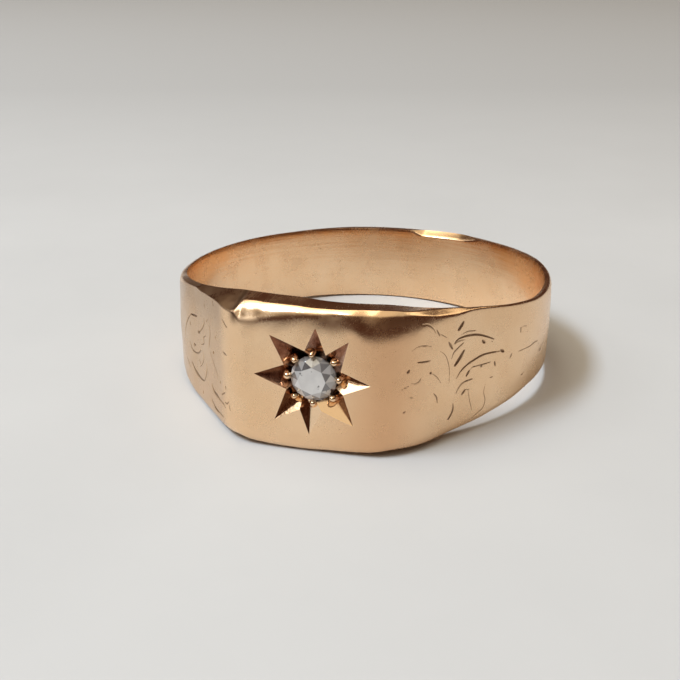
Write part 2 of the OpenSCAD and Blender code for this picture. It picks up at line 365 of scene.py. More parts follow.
class Ribs:
    """Places and sizes of the ribs at some angles around the bore, the head's middle being 0."""

    def __init__(self, angles, band):
        angles = np.asarray(angles, float)
        lean = rib_lean(angles, band)
        self.base = band.bore_radius * np.stack([np.sin(angles), -np.cos(angles)], axis=1)
        self.way = np.stack([np.sin(lean), -np.cos(lean)], axis=1)
        self.reach = plan_reach(self.base, self.way, band)
        self.outer = self.base + self.way * self.reach[:, None]
        degrees = np.arctan2(self.outer[:, 0], -self.outer[:, 1]) / DEG
        self.top = steady_line(degrees, TOP_HEIGHT) * MM
        self.foot = steady_line(degrees, FOOT_HEIGHT) * MM
        marks = np.array(UPPER_EDGE)
        edge = [steady_line(degrees, marks[:, [0, i]]) for i in range(1, marks.shape[1])]
        self.flat, self.crease = edge[0], edge[2]
        self.flat_fall, self.crease_fall, self.face_fall = (edge[i] * MM for i in (1, 3, 4))
        self.wear, self.wear_depth, self.soft = (edge[i] * MM for i in (5, 6, 7))
        away = np.abs(degrees)
        self.drop = FOOT_DROP * (1 - eased(away, *BOTH_DROP_FADE))
        band_share = eased(away, *BOTH_ROUND_CHANGE)
        self.foot_round = band.foot_round * (1 - band_share) + band.rim_round * band_share
        self.foot_soft = self.foot_round / 4
        self.rim = band.bore_round + GROUND_WIDTH * stretch(degrees, *GROUND_FLAT)
        self.bevel = stretch(-degrees, *LEFT_BEVEL)
        self.left_grime_and_shade = stretch(-degrees, *LEFT_GRIME_AND_SHADE)
        self.red_bend = bell(degrees, *RED_BEND)
        self.rough_brow = bell(degrees, *ROUGH_BROW)
        self.rough_shaded_corner = bell(degrees, *ROUGH_SHADED_CORNER)
        self.brow_shade_spot = bell(degrees, *PAINTED_BROW_SHADE)

    def upper_corners(self, band):
        """Corners of the upper half of each outline, from the bore's edge over the top to the middle."""
        brow = self.top - self.face_fall
        corners = [
            (self.rim + BORE_FLARE, self.top),
            (self.flat * self.reach, self.top - self.flat_fall),
            (self.crease * (self.reach - self.wear), self.top - self.crease_fall),
        ]
        for share in np.linspace(0, 1, FACE_POINTS):
            height = brow - self.wear_depth * share
            bowed = band.crown * (height / brow) ** 2
            corners.append((self.reach - self.wear * (1 - share) ** WEAR_CURVE - bowed, height))
        return corners + [(self.reach, 0 * self.top)]

    def lower_corners(self, band):
        """Corners of the lower half of each outline, as heights below the middle."""
        start, turn = 1.2 * self.foot_round, 0.3 * self.foot_round
        return [
            (0 * self.reach + band.bore_round, self.foot - self.drop),
            (self.reach - start, self.foot),
            (self.reach - band.crown - turn, self.foot - turn),
            (self.reach - band.crown, self.foot - start),
            (self.reach, 0 * self.foot),
        ]


def evenly(path, count):
    """The same number of even points along each of some lines."""
    steps = np.linalg.norm(np.diff(path, axis=1), axis=2)
    run = np.hstack([np.zeros((len(path), 1)), np.cumsum(steps, axis=1)])
    share = np.linspace(0, 1, count)
    return np.array(
        [[np.interp(share * r[-1], r, axis) for axis in line.T] for line, r in zip(path, run)]
    ).transpose(0, 2, 1)


def soft_outline(corners, soft, count):
    """Even points along the lines through some corners, their turns softened over a distance."""
    fine, rounds, most = 260, 240, 0.25
    path = evenly(np.stack([np.stack(corner, axis=1) for corner in corners], axis=1), fine)
    step = np.linalg.norm(path[:, 1] - path[:, 0], axis=1)
    share = np.clip((soft / step) ** 2 / (2 * rounds), 0, most)[:, None, None]
    for _ in range(rounds):
        path[:, 1:-1] += share * (path[:, :-2] - 2 * path[:, 1:-1] + path[:, 2:])
    return evenly(path, count).transpose(2, 0, 1)


class Section:
    """How many points the outline of a rib has along each stretch of its upper and its lower half."""

    def __init__(self, over, under, bore=7, bore_edge=4):
        self.over, self.under, self.bore, self.bore_edge = over, under, bore, bore_edge

    def half(self, corners, soft, high, edge, flare, count):
        """Distances along the ribs and heights, from the bore's middle to the outside's middle."""
        high, edge = high[:, None], edge[:, None]
        t = 1 - (1 - np.linspace(0, 1, self.bore + 1)[None, :-1]) ** 2
        rise = (high - BORE_EDGE_FALL * edge) * t
        opened = np.clip(1 - (high - rise) / BORE_FLARE_HEIGHT, 0, 1)
        bore = flare * opened**2, rise
        t = np.linspace(0, 1, self.bore_edge + 1)[None, :-1]
        inner = flare + edge * t, high - BORE_EDGE_FALL * edge * (1 - t)
        stretches = bore, inner, soft_outline(corners, soft, count)
        return np.hstack([s[0] for s in stretches]), np.hstack([s[1] for s in stretches])

    def loops(self, ribs, band):
        """The closed outline of every rib, as distances along it and heights."""
        along, height = self.half(
            ribs.upper_corners(band), ribs.soft, ribs.top, ribs.rim, BORE_FLARE, self.over
        )
        low_edge = 0 * ribs.rim + band.bore_round
        low = ribs.foot - ribs.drop
        under, depth = self.half(ribs.lower_corners(band), ribs.foot_soft, low, low_edge, 0, self.under)
        return np.hstack([along, under[:, -2:0:-1]]), np.hstack([height, -depth[:, -2:0:-1]])

    def outside_span(self):
        """The first of the outside's points in a loop, and how many it has."""
        return self.bore + self.bore_edge, self.over + self.under - 1


# Slow waves in the hand-worn outside: (share of the depth; turn in radians for each millimetre along X, Y
# and Z; start), and half of their full depth
LUMP_WAVES = [
    (1, 1.9, 0.7, 1.3, 0.4),
    (1, -1.1, 1.6, 2.3, 1.9),
    (0.6, 3.1, -2.2, -2.9, 4.1),
    (0.4, -4.3, 3.7, 5.1, 2.6),
]
LUMP_DEPTH = 0.012 * MM


def outside_lumps(points):
    """Slow unevenness of hand-worn metal, from -1 to 1."""
    x, y, z = (points / MM).T
    waves = sum(share * np.sin(a * x + b * y + c * z + start) for share, a, b, c, start in LUMP_WAVES)
    return waves / sum(wave[0] for wave in LUMP_WAVES)


def wear_marks(ribs, height):
    """How rubbed the outside is, its share of painted shade with grime and its share of redder gold, from
    0 to 1, at some heights on each rib.
    """
    brow_edge, brow_width = 0.02 * MM, 0.16 * MM
    full_wear = 0.26 * MM
    strip_height, strip_width = 0.25 * MM, 0.25 * MM
    corner_fade = 2 * MM, 2.6 * MM
    shoulder_fade = 1 * MM, 2.4 * MM
    worn_fade = 0.5, 0.9
    bevel_rub, worn_rub = 0.4, 0.4
    # Painted dark reflections on the left bevel and the face's worn patch; grime with painted shade on the
    # left shoulder, more towards its top.
    bevel_shade, worn_patch_shade, shoulder_grime_and_shade, more_shade_above = 0.45, 0.3, 0.28, 0.2
    height = height.T
    upper_half = height > 0
    brow = ribs.top - ribs.face_fall
    above = height > brow - brow_edge
    worn_low = brow - ribs.wear_depth
    worn = ribs.wear / full_wear * eased((height - worn_low) / ribs.wear_depth, *worn_fade)
    # The corner at the left end of the head's strip: rougher, with painted shade over its glint.
    corner = ribs.rough_shaded_corner * eased(height, *corner_fade)
    rubbed = np.where(above, bevel_rub * ribs.bevel, np.where(upper_half, worn_rub * worn, 0))
    rubbed = np.maximum(np.maximum(rubbed, ribs.rough_brow * bell(height, brow, brow_width)), corner)
    # The left shoulder: grime over the engraving with painted shade, more towards its top.
    left = ribs.left_grime_and_shade * (shoulder_grime_and_shade + more_shade_above * eased(height, *shoulder_fade))
    # The left bevel: painted shade standing in for its dark reflection.
    dull = np.where(above, bevel_shade * ribs.bevel, left)
    # Painted shade over the left end of the head's highlight, just above the brow.
    brow_shade = ribs.brow_shade_spot * bell(height - brow, strip_height, strip_width)
    dull = np.maximum(np.maximum(dull, corner), brow_shade)
    # The worn patch of the face: painted shade standing in for its dark reflection.
    dull = np.maximum(dull, np.where(upper_half & ~above, worn_patch_shade * worn, 0))
    red = np.where(above, 0, ribs.red_bend)
    return {"rubbed": rubbed.T, "dull": dull.T, "red": red.T}


def mesh_piece(name, points, faces, marks=None):
    """A mesh object from points and faces, with named values at its points."""
    mesh = bpy.data.meshes.new(name)
    mesh.from_pydata([tuple(p) for p in points], [], faces)
    for label, values in (marks or {}).items():
        mark = mesh.attributes.new(label, "FLOAT", "POINT")
        mark.data.foreach_set("value", np.asarray(values.ravel(), np.float32))
    mesh.update()
    piece = bpy.data.objects.new(name, mesh)
    bpy.context.scene.collection.objects.link(piece)
    return piece


def soften(piece, sharp=35 * DEG):
    """Smooth shading that keeps the edges sharper than an angle."""
    piece.data.shade_smooth()
    piece.data.set_sharp_from_angle(angle=sharp)


def outward(piece):
    """Turns every face of a closed piece outwards."""
    shape = bmesh.new()
    shape.from_mesh(piece.data)
    bmesh.ops.recalc_face_normals(shape, faces=shape.faces)
    if shape.calc_volume(signed=True) < 0:
        bmesh.ops.reverse_faces(shape, faces=shape.faces)
    shape.to_mesh(piece.data)
    shape.free()


def metal_piece(name, angles, section, cut=None):
    """One closed length of the ring between its first and last rib, cut by an engraver where asked."""
    band = settings("band")
    ribs = Ribs(angles, band)
    along, height = section.loops(ribs, band)
    count, around = along.shape
    points = np.zeros((count, around, 3))
    points[:, :, :2] = ribs.base[:, None, :] + ribs.way[:, None, :] * along[:, :, None]
    points[:, :, 2] = height
    first, many = section.outside_span()
    outside = slice(first, first + many)
    tangent = np.gradient(ribs.outer, axis=0)
    tangent /= np.linalg.norm(tangent, axis=1)[:, None]
    square = np.stack([tangent[:, 1], -tangent[:, 0]], axis=1)
    square *= np.sign(np.sum(square * ribs.way, axis=1))[:, None]
    sunk = LUMP_DEPTH * (1 + outside_lumps(points[:, outside].reshape(-1, 3)).reshape(count, many))
    marks = {label: np.zeros((count, around)) for label in ("engraved", "bore", "rubbed", "dull", "red")}
    if cut is not None:
        run = np.broadcast_to(run_along(ribs.outer)[:, None], (count, many))
        depth, marks["engraved"][:, outside] = cut(run, height[:, outside])
        sunk = sunk + depth
    points[:, outside, :2] -= square[:, None, :] * sunk[:, :, None]
    marks["bore"][:, : section.bore + 1] = 1
    marks["bore"][:, around - section.bore :] = 1
    for label, values in wear_marks(ribs, height[:, outside]).items():
        marks[label][:, outside] = values
    index = np.arange(count * around).reshape(count, around)
    here, after = index[:-1], index[1:]
    quads = np.stack([here, after, np.roll(after, -1, 1), np.roll(here, -1, 1)], axis=2).reshape(-1, 4)
    caps = [index[0].tolist(), index[-1][::-1].tolist()]
    piece = mesh_piece(name, points.reshape(-1, 3), quads.tolist() + caps, marks)
    soften(piece)
    outward(piece)
    return piece


def finish_piece(piece, slot, material, *nodes):
    """Gives a finished piece its material and its body, and hides the CAD parts that it stands for."""
    if material is not None:
        piece.data.materials.clear()
        piece.data.materials.append(material)
    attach(piece, "root")
    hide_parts(*nodes)


# Engraving

# Cuts by their width. Each has its points' distances along the shoulder and heights in turn. All are in
# millimetres.
RIGHT_SCROLLS = {
    0.05: [
        (3.25, 1.71, 3.63, 1.8, 4.18, 1.74), (3.71, -1, 4, -1.05), (3.89, -1.07, 4, -1.53, 4.24, -2.22),
        (7.29, 1.21, 7.49, 1.24, 7.74, 1.19, 7.89, 0.88),
        (7.2, 0.07, 7.74, 0.06, 8.25, 0.04, 8.89, 0.04), (2, 2.01, 2.44, 1.74),
        (0.52, 1.51, 0.75, 1.63, 1.07, 1.65, 1.51, 1.54),
        (2.03, 1.22, 2.35, 0.97, 2.55, 0.6, 2.67, 0.1, 2.67, -0.38),
        (1.63, 0.26, 1.92, 0.03, 2.18, -0.31),
    ],
    0.06: [
        (2.84, 1.35, 3.16, 1.45, 3.54, 1.44),
        (4.96, -1.02, 4.9, -1.41, 5.02, -1.84, 4.93, -2.17, 4.59, -2.39, 4.09, -2.63),
        (5.17, 1.05, 5.22, 0.99), (5.22, -0.76, 5.43, -0.74),
        (0.96, 2.57, 1.28, 2.54, 1.6, 2.31, 1.77, 2.06), (0.09, -0.22, 0.44, -0.09),
    ],
    0.07: [
        (3.92, -0.09, 4, -0.02, 4.44, 0.01, 4.79, 0.02, 5.22, 0.04),
        (8.25, 0.04, 8.66, 0.08, 9.13, 0.04, 9.36, -0.16),
        (0.52, -0.01, 0.84, -0.02, 0.99, 0.09, 1.04, 0.2), (0.46, -0.66, 0.67, -0.67),
    ],
    0.08: [
        (2.76, 0.69, 2.87, 0.95, 3.16, 1.17, 3.45, 1.32),
        (3.11, -1.09, 3.28, -0.81, 3.48, -0.65, 3.86, -0.57, 4.12, -0.56),
        (10.29, -0.41, 9.82, -0.56, 9.82, -0.71), (0.81, 0.94, 1.16, 0.9, 1.54, 0.89),
    ],
    0.09: [
        (6.65, 0.13, 6.51, -0.11), (7.74, -1.23, 7.74, -1.31), (7.29, 1, 7.29, 1.23),
        (1.8, 2.23, 2, 1.92), (1.77, -0.72, 1.94, -0.92, 2.03, -1.24), (0.15, -1.35, 0.32, -1.26),
    ],
    0.1: [
        (3.11, -0.32, 3.37, -0.01, 3.77, 0.23, 4.21, 0.37, 4.7, 0.49, 5.25, 0.49, 5.75, 0.44),
    ],
    0.11: [
        (2.9, 1.4, 3.08, 1.54, 3.42, 1.6, 3.8, 1.6, 4.29, 1.53, 4.79, 1.36, 5.31, 1.12),
        (4.59, -0.09, 4.67, 0.01),
    ],
    0.12: [
        (3.48, -1.18, 3.71, -1), (0.32, 0.53, 0.44, 0.65), (1.51, 0.29, 1.6, 0.32),
    ],
    0.13: [
        (3.71, -0.34, 3.92, -0.09), (2.73, -2.26, 2.93, -2.01, 3.02, -1.79, 2.99, -1.53),
    ],
    0.14: [
        (5.43, 0, 5.51, -0.22),
    ],
    0.16: [
        (2.55, 1.51, 2.79, 1.17),
    ],
    0.17: [
        (3.4, 2.31, 3.25, 2.13, 3.08, 1.96), (4.59, 1.18, 4.76, 1.06), (5.8, 0.48, 6.04, 0.36),
    ],
    0.19: [
        (3.51, 0.95, 3.28, 0.65, 2.96, 0.32),
    ],
}

LEFT_SCROLLS = {
    0.07: [
        (1.7, 2.03, 1.64, 1.95), (3.56, -0.34, 3.53, -0.64, 3.73, -0.96, 4.17, -1.32),
        (1.7, 1.07, 1.7, 0.92), (2.54, 0, 2.28, -0.21, 2.05, -0.42, 1.73, -0.65, 1.55, -0.94),
        (0.33, -1.83, 0.24, -2.09), (6.34, -1.5, 5.94, -1.68, 5.65, -1.85), (4.34, -0.97, 4.05, -1.13),
        (2.08, 2.67, 1.88, 2.45), (3.24, 2.2, 3.1, 2),
    ],
    0.09: [
        (5.24, 1.07, 5.74, 0.66, 6.06, 0.3, 6.29, -0.09, 6.37, -0.44), (5.42, 0.65, 5.36, 0.46),
        (4.02, 0.52, 3.47, 0.95, 3.24, 1.32, 3.3, 1.45), (2.8, 1.53, 2.92, 1.37),
        (0.8, 2.16, 0.48, 1.97, 0.3, 1.88), (2.57, 1.32, 2.46, 0.97, 2.57, 0.54, 2.69, 0.16),
        (3.88, -0.07, 3.41, 0.21, 3.47, 0.37, 3.1, 0.62), (0.77, 0.63, 0.39, 0.57),
        (3.59, -1.84, 3.36, -1.55, 3.15, -1.12, 3.12, -0.79), (1.37, -1.98, 0.89, -2.03, 0.67, -2.15),
        (3.88, -2.48, 3.91, -2.65), (2.63, -2.42, 2.37, -2.57), (1.49, -2.68, 0.96, -2.69),
        (0.74, -1.83, 0.55, -1.85, 0.33, -1.68),
    ],
    0.1: [
        (1.12, -1.61, 0.67, -1.34),
    ],
    0.11: [
        (5.53, -0.43, 5.27, -0.7, 4.72, -0.76, 4.28, -0.61, 3.97, -0.37), (0.64, -1, 0.58, -1.15),
    ],
    0.14: [
        (4.37, 1.2, 4.81, 1.14, 5.24, 1.07), (2.08, 0.16, 1.99, 0.14),
        (5.39, -1.49, 5.04, -1.71, 4.6, -1.86, 4.02, -1.91, 3.59, -1.84), (1.28, -1.01, 1.25, -1.1),
        (2.49, -1.59, 2.28, -1.82, 1.73, -1.94, 1.37, -1.98), (2.37, -2.57, 1.93, -2.71, 1.49, -2.68),
    ],
    0.19: [
        (4.23, 0.48, 4.02, 0.5), (4.92, -0.39, 4.72, -0.37),
    ],
}


def drawn(points, spacing=0.012 * MM):
    """Close points along a smooth curve through a cut's few points, in metres."""
    fewest = 6
    points = np.array(points).reshape(-1, 2) * MM
    run = run_along(points)
    at = np.linspace(0, run[-1], max(fewest, int(run[-1] / spacing)))
    if len(points) == 2:
        return np.stack([np.interp(at, run, axis) for axis in points.T], axis=1)
    return np.stack([smooth_line(at, list(zip(run, axis))) for axis in points.T], axis=1)


def engraver(cuts):
    """A function that gives the depth of V-shaped cuts, and a mark from 0 to 1, on a shoulder."""
    engraving = settings("engraving")
    bold_width = 0.15
    end_width, swelling = 0.35, 0.7
    mark_reach = 1.35
    lines = [(width, drawn(points)) for width, group in cuts.items() for points in group]

    def cut(run, height):
        depth = np.zeros(run.shape)
        mark = np.zeros(run.shape)
        place = np.stack([run, height], axis=-1)
        for width, line in lines:
            half = width * MM / 2
            t = np.linspace(0, 1, len(line))
            swell = end_width + (1 - end_width) * np.sin(math.pi * t) ** swelling
            low, high = line.min(0) - 2 * half, line.max(0) + 2 * half
            near = np.all((place > low) & (place < high), axis=-1)
            gap = np.linalg.norm(place[near][:, None, :] - line[None], axis=-1) / (half * swell)
            gap = gap.min(axis=1) if gap.size else np.zeros(0)
            deep = min(1.0, width / bold_width) * engraving.depth
            depth[near] = np.maximum(depth[near], deep * np.clip(1 - gap, 0, 1))
            mark[near] = np.maximum(mark[near], np.clip(mark_reach - gap, 0, 1))
        return depth, mark

    return cut


# Materials


def fill(tree, node, inputs):
    """Gives a node's inputs their values, or links them to the outputs of other nodes."""
    for key, value in inputs.items():
        if isinstance(value, bpy.types.NodeSocket):
            tree.links.new(value, node.inputs[key])
        else:
            node.inputs[key].default_value = value
    return node


def add_node(tree, kind, inputs, **values):
    """A new node with its settings and its inputs."""
    node = tree.nodes.new(kind)
    for key, value in values.items():
        setattr(node, key, value)
    return fill(tree, node, inputs)


# Places of the colours among a mix node's inputs and outputs
MIX_FIRST, MIX_SECOND, MIX_RESULT = 6, 7, 2


class Shader:
    """Builds the nodes of one material or world."""

    def __init__(self, owner, place="Object", surface="Principled BSDF"):
        owner.use_nodes = True
        self.owner, self.tree = owner, owner.node_tree
        self.place = self.add("ShaderNodeTexCoord", {}).outputs[place]
        self.surface = self.tree.nodes[surface]

    def add(self, kind, inputs, **values):
        return add_node(self.tree, kind, inputs, **values)

    def finish(self, **inputs):
        """Fills the surface's inputs, a space in their names being an underscore here."""
        fill(self.tree, self.surface, {key.replace("_", " "): value for key, value in inputs.items()})
        return self.owner

    def stretched(self, scale, turn=(0, 0, 0)):
        inputs = {"Vector": self.place, "Scale": scale, "Rotation": turn}
        return self.add("ShaderNodeMapping", inputs).outputs["Vector"]

    def along(self, way):
        inputs = {0: self.place, 1: way}
        return self.add("ShaderNodeVectorMath", inputs, operation="DOT_PRODUCT").outputs["Value"]

    def noise(self, scale, detail=3.0, roughness=0.55, vector=None):
        inputs = {"Vector": vector or self.place, "Scale": scale, "Detail": detail, "Roughness": roughness}
        return self.add("ShaderNodeTexNoise", inputs).outputs["Fac"]

    def ramp(self, value, low, high, start=0.0, end=1.0, curve="LINEAR"):
        inputs = {"Value": value, "From Min": low, "From Max": high, "To Min": start, "To Max": end}
        return self.add("ShaderNodeMapRange", inputs, interpolation_type=curve).outputs["Result"]

    def math(self, kind, a, b):
        return self.add("ShaderNodeMath", {0: a, 1: b}, operation=kind).outputs[0]

    def mix(self, share, *colours):
        first, second = ((*c, 1) if isinstance(c, tuple) else c for c in colours)
        inputs = {"Factor": share, MIX_FIRST: first, MIX_SECOND: second}
        return self.add("ShaderNodeMix", inputs, data_type="RGBA").outputs[MIX_RESULT]

    def attribute(self, label):
        return self.add("ShaderNodeAttribute", {}, attribute_name=label).outputs["Fac"]

    def bump(self, height, strength, distance, **under):
        inputs = {"Height": height, "Strength": strength, "Distance": distance, **under}
        return self.add("ShaderNodeBump", inputs).outputs["Normal"]


# The golds: (colours of Finish where bright and where deep; least and most roughness; scale of the
# uneven tone; strength of the dents)
GOLDS = {
    "worn_rose_gold": ("gold", "gold_deep", 0.17, 0.28, 420, 0.07),
    # The lit and the shaded star cut are copies of the cut's gold: the lit one is a painted highlight, the
    # shaded one painted shade with grime.
    "bright_star_cut": ("solder", "gold", 0.06, 0.14, 1800, 0.3),
    "dull_star_cut": ("shaded_cut_gold", "darkest_shaded_cut", 0.12, 0.22, 2100, 0.4),
    "bright_grain_gold": ("solder", "gold", 0.12, 0.2, 420, 0.07),
    "pale_solder": ("solder", "gold_deep", 0.17, 0.28, 420, 0.07),
}

# Scratches: their scale across and along, and the turns of their three sets
HAIR_SCALE = 14000, 900, 14000
HAIR_TURNS = (0.3, 0.2, 0.5), (1.1, 0.9, 0.2), (0.7, 2.2, 1.4)

# Scale of the streaks that polishing left in the bore
STREAK_SCALE = 260, 260, 7000


def worn_gold(name, bright, deep, rough_low, rough_high, tone_scale, dented):
    """Gold with uneven tone, hairline scratches, small dents, polishing streaks and grime in its cuts.

    Painted shade darkens it where its shade mark asks, and it turns a darker, redder gold round the right
    bend.
    """
    finish = settings("finish")
    tones, hairlines, pit_edges = (0.36, 0.68), (0.56, 0.72), (0.58, 0.7)
    worn_share, in_cut = (0.35, 0.65), (0.2, 0.95)
    dent_scale, worn_scale, pit_scale = 2600, 900, 5200
    most_grime, scratch_rough, rubbed_rough = 0.78, 0.06, 0.2
    s = Shader(bpy.data.materials.new(name))
    tone = s.ramp(s.noise(tone_scale, 4), *tones)
    metal = s.mix(tone, tuple(getattr(finish, deep)), tuple(getattr(finish, bright)))
    # Darker, redder gold round the right bend.
    metal = s.mix(s.attribute("red"), metal, tuple(finish.red_gold))
    hairs = [s.noise(1.0, 2, vector=s.stretched(HAIR_SCALE, turn)) for turn in HAIR_TURNS]
    first, second, third = (s.ramp(hair, *hairlines) for hair in hairs)
    scratches = s.math("MAXIMUM", s.math("MAXIMUM", first, second), third)
    dents = s.noise(dent_scale)
    worn = s.noise(worn_scale)
    engraved = s.attribute("engraved")
    rubbed = s.attribute("rubbed")
    streaks = s.noise(1.0, 4, vector=s.stretched(STREAK_SCALE))
    pits = s.ramp(s.noise(pit_scale, 2, 0.5), *pit_edges)
    # Grime in the engraved cuts, and the mark of painted shade and grime from the head's edges and the
    # left shoulder.
    grime_and_painted_shade = s.math("MAXIMUM", s.ramp(engraved, *in_cut, 0, most_grime), s.attribute("dull"))
    rough = s.ramp(worn, *worn_share, rough_low, rough_high)
    rough = s.math("ADD", rough, s.math("MULTIPLY", scratches, scratch_rough))
    rougher = s.math("MULTIPLY", s.math("MAXIMUM", engraved, rubbed), rubbed_rough)
    rough = s.math("ADD", rough, rougher)
    streaks = s.math("MULTIPLY", streaks, s.attribute("bore"))
    pits = s.math("MULTIPLY", pits, rubbed)
    normal = s.bump(scratches, strength=0.12, distance=0.006 * MM)
    normal = s.bump(dents, strength=dented, distance=0.02 * MM, Normal=normal)
    normal = s.bump(streaks, strength=0.3, distance=0.02 * MM, Normal=normal)
    normal = s.bump(pits, strength=0.1, distance=0.04 * MM, Normal=normal)
    base = s.mix(grime_and_painted_shade, metal, tuple(finish.grime_and_painted_shade))
    return s.finish(Base_Color=base, Roughness=rough, Normal=normal, Metallic=1.0)


def gold(name):
    """One of the golds, made once."""
    return bpy.data.materials.get(name) or worn_gold(name, *GOLDS[name])


def old_stone():
    """A grey old-cut stone, cloudy, with dark specks and painted light and shade on its facets."""
    shaded_facet_colour, cloudy, speck = (0.05, 0.045, 0.05), (0.38, 0.36, 0.36), (0.12, 0.11, 0.11)
    cloud_scale, speck_scale = 1500, 3600
    cloud_edges, speck_edges = (0.35, 0.7), (0.64, 0.7)
    cloud_share, roughness = 0.3, (0.03, 0.12)
    s = Shader(bpy.data.materials.new("old_cut_stone"))
    cloud = s.ramp(s.noise(cloud_scale, 4), *cloud_edges)
    specks = s.ramp(s.noise(speck_scale, 2), *speck_edges)
    # Painted light and shade: each facet's own brightness blends the dark facet colour into the stone's
    # colour.
    body = s.mix(s.attribute("facet"), shaded_facet_colour, tuple(settings("finish").stone))
    body = s.mix(s.math("MULTIPLY", cloud, cloud_share), body, cloudy)
    base, rough = s.mix(specks, body, speck), s.ramp(cloud, 0, 1, *roughness)
    return s.finish(Base_Color=base, Roughness=rough, Transmission_Weight=0.1, IOR=2.2)


def floor_material():
    """Pale matt plaster with painted shade, darker behind the ring and much darker in front of it."""
    s = Shader(bpy.data.materials.new("pale_floor"))
    base = tuple(settings("stage").floor)
    # The mottle is the plaster's own tone; the colours behind and in front of the ring are painted shade.
    mottle, shaded_behind_colour, front = (tuple(share * c for c in base) for share in (0.95, 0.8, 0.5))
    towards_front = 0.23, -0.97, 0
    painted_shade_behind, painted_shade_front = (-20 * MM, -90 * MM), (35 * MM, 90 * MM)
    mottle_scale, mottle_edges = 60, (0.35, 0.7)
    ahead = s.along(towards_front)
    lit = s.mix(s.ramp(s.noise(mottle_scale, 5), *mottle_edges), base, mottle)
    # Painted shade, darker behind the ring and much darker in front of it.
    lit = s.mix(s.ramp(ahead, *painted_shade_behind), lit, shaded_behind_colour)
    lit = s.mix(s.ramp(ahead, *painted_shade_front), lit, front)
    return s.finish(Base_Color=lit, Roughness=0.75)


# The metal pieces, and the star that is cut into the head

# The star's rays, anticlockwise from the right. Each has its tip and the notch after it, as (degrees;
# millimetres from the stone's middle); the fall of its floor for each unit from the tip; how far the
# floor's deep end lies aside, anticlockwise in millimetres; and which side, if any, gets the lit copy of
# the cut's gold, a painted highlight.
STAR_RAYS = [
    ((0, 2.74), (23, 1.42), 0.4, 0, 1),
    ((50, 2.64), (64, 1.41), 0.36, 0, None),
    ((87, 2.59), (105, 1.41), 0.37, 0, None),
    ((135, 2.84), (154, 1.45), 0.55, 0, None),
    ((179, 2.8), (204, 1.3), 0.5, 0, None),
    ((230, 2.83), (249, 1.58), 0.43, -0.3, 2),
    ((268, 2.81), (288, 1.53), 0.27, -0.5, 2),
    ((313, 2.89), (339, 1.54), 0.4, 0, 1),
]


def around_stone(points):
    """Places on the face from degrees and distances round the stone's middle."""
    degrees, reach = np.array(points, float).T
    return np.stack([np.cos(degrees * DEG), np.sin(degrees * DEG)], axis=1) * reach[:, None] * MM


def on_face(points):
    """Moves points from the face's own axes, Z out of the face and Y along the finger, to the ring."""
    points = np.asarray(points, float)
    face = settings("band").face_reach
    return np.stack([points[:, 0], -face - points[:, 2], points[:, 1]], axis=1)


def ray_cutter(tip, notches, fall, aside, star):
    """A V-shaped cutter for one ray, its floor falling from the tip towards the stone."""
    over = 1 * MM
    past_notch = 1.3
    root_share = 0.55
    out = tip / np.linalg.norm(tip)
    root = out * root_share * star.stone_radius + aside * MM * np.array([-out[1], out[0]])
    run = np.linalg.norm(root - tip)
    start = tip - (root - tip) / run * over
    corners = [(*start, over * fall)]
    for notch in notches:
        beyond = past_notch + over / np.linalg.norm(notch - tip)
        corners.append((*(start + (notch - tip) * beyond), over * fall))
    corners.append((*root, -fall * run))
    return on_face(corners), [(0, 2, 1), (0, 1, 3), (0, 3, 2), (1, 2, 3)]


def seat_cutter(star, depth):
    """A cutter for the stone's seat: a shaft to below the girdle, a cone and a hole to the bore."""
    sides = 48
    clear = 0.02 * MM
    pierce = 0.45 * MM
    over, shelf, cone_end, past_bore = 1 * MM, 0.4 * MM, 1.05 * MM, 0.5 * MM
    shaft = star.stone_radius + clear
    profile = [(shaft, over), (shaft, -shelf), (pierce, -cone_end), (pierce, -depth - past_bore)]
    turns = np.arange(sides) * 2 * math.pi / sides
    points = [(r * math.cos(t), r * math.sin(t), z) for r, z in profile for t in turns]
    faces = []
    for row in range(len(profile) - 1):
        for i in range(sides):
            a, b = row * sides + i, row * sides + (i + 1) % sides
            faces.append((a, a + sides, b + sides, b))
    last = (len(profile) - 1) * sides
    faces += [list(range(sides)), list(range(last + sides - 1, last - 1, -1))]
    return on_face(points), faces


def realised(piece):
    """The plain mesh that a piece has after its modifiers, which are removed."""
    bpy.context.view_layer.update()
    seen = piece.evaluated_get(bpy.context.evaluated_depsgraph_get())
    mesh = bpy.data.meshes.new_from_object(seen)
    piece.modifiers.clear()
    mesh.name = piece.name
    return mesh


def carve(piece, cutter):
    """Cuts a closed shape out of a piece and removes the cutter."""
    modifier = piece.modifiers.new("carve", "BOOLEAN")
    modifier.operation = "DIFFERENCE"
    modifier.solver = "EXACT"
    modifier.material_mode = "TRANSFER"
    modifier.object = cutter
    old, piece.data = piece.data, realised(piece)
    bpy.data.meshes.remove(old)
    bpy.data.objects.remove(cutter)


def head_angles(band, step):
    """Angles of the ribs that cross the head, closer together near its bends."""
    crowding = 0.35
    half = band.head_half
    share = np.linspace(-1, 1, int(2 * half / step) + 1)
    x = half * np.sin(share * math.pi / 2) * crowding + half * share * (1 - crowding)
    return np.arcsin(x / band.bore_radius)


